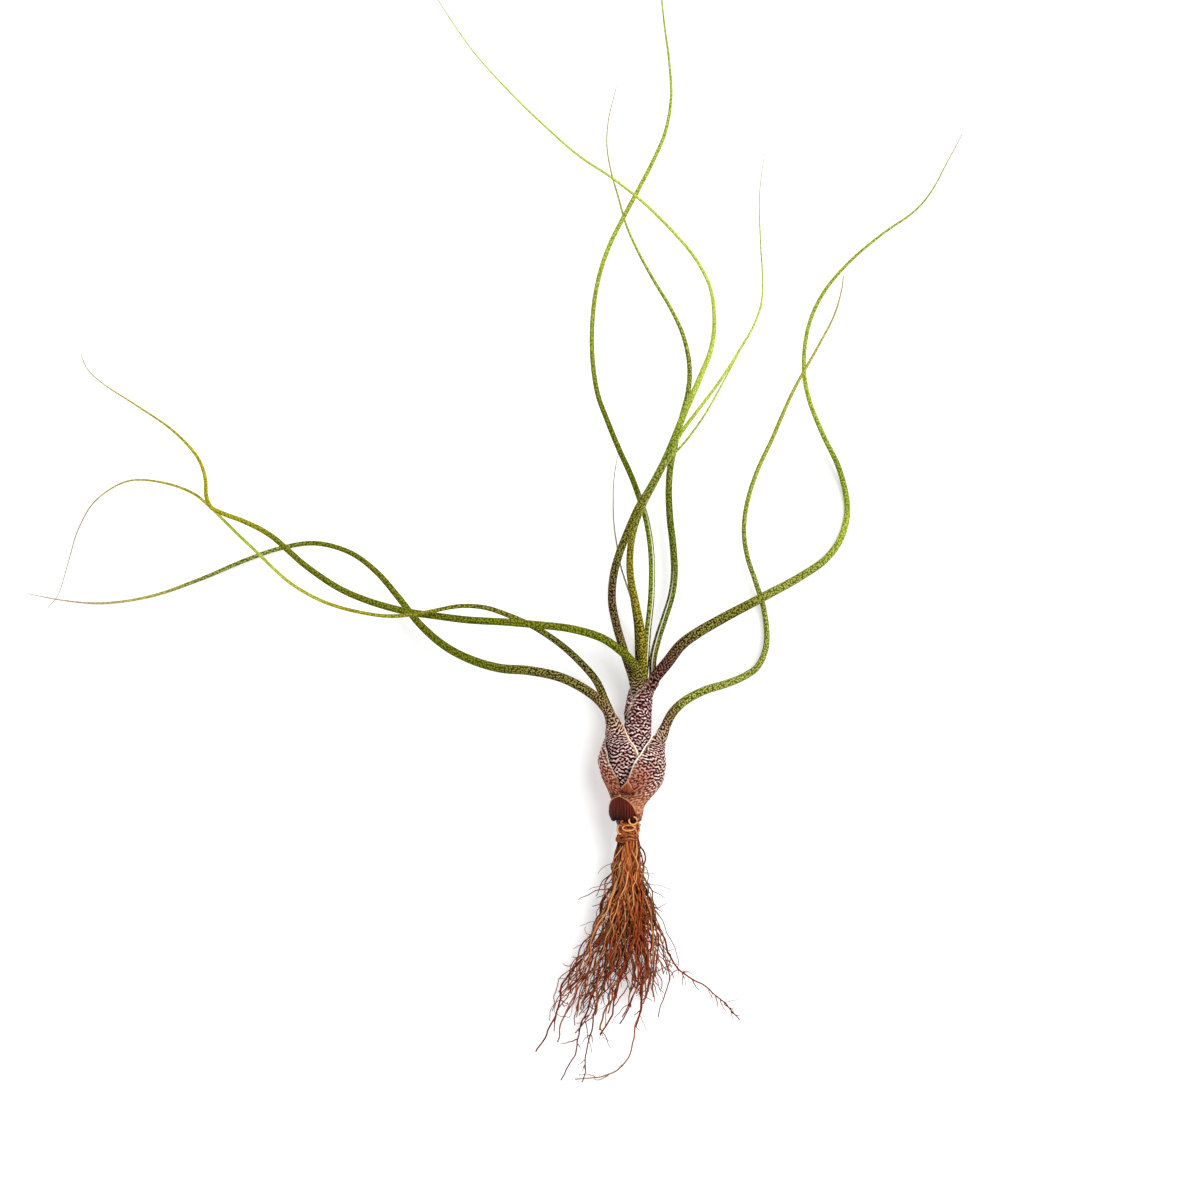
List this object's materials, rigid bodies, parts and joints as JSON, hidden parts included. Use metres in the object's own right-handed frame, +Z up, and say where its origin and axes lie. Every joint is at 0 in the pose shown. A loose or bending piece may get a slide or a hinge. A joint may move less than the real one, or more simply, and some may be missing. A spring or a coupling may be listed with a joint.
{
  "type": "tillandsia butzii air plant",
  "caption": "Bulbous air plant as picked, lying on a surface: nested leaf bases, long twisting rolled leaves and a bunch of wiry roots.",
  "frame": {"origin": "on the surface the plant lies on, at the flat spot under the bulb's widest part", "axes": "+Y from the roots towards the leaf tips, +Z up off the surface, +X to the right seen from above"},
  "size_m": [0.3371, 0.4036, 0.0595],
  "materials": {
    "stem": "matte",
    "roots": "matte",
    "bract": "satin",
    "scale": "matte",
    "leaf_green": "matte",
    "leaf_olive": "matte",
    "leaf_yellow": "matte",
    "leaf_brown": "matte"
  },
  "bodies": {
    "root": {"stem": "stem", "roots": "roots", "bract_basal": "bract", "scale_torn": "scale", "leaf_right_outer": "leaf_green", "leaf_left_back": "leaf_yellow", "leaf_left_front": "leaf_olive", "leaf_right_inner": "leaf_olive", "leaf_left_inner": "leaf_green", "leaf_middle_tall": "leaf_olive", "leaf_middle": "leaf_yellow", "leaf_middle_curled": "leaf_green", "leaf_middle_low": "leaf_green", "leaf_middle_thin": "leaf_yellow", "leaf_middle_hair": "leaf_brown"}
  },
  "joints": []
}
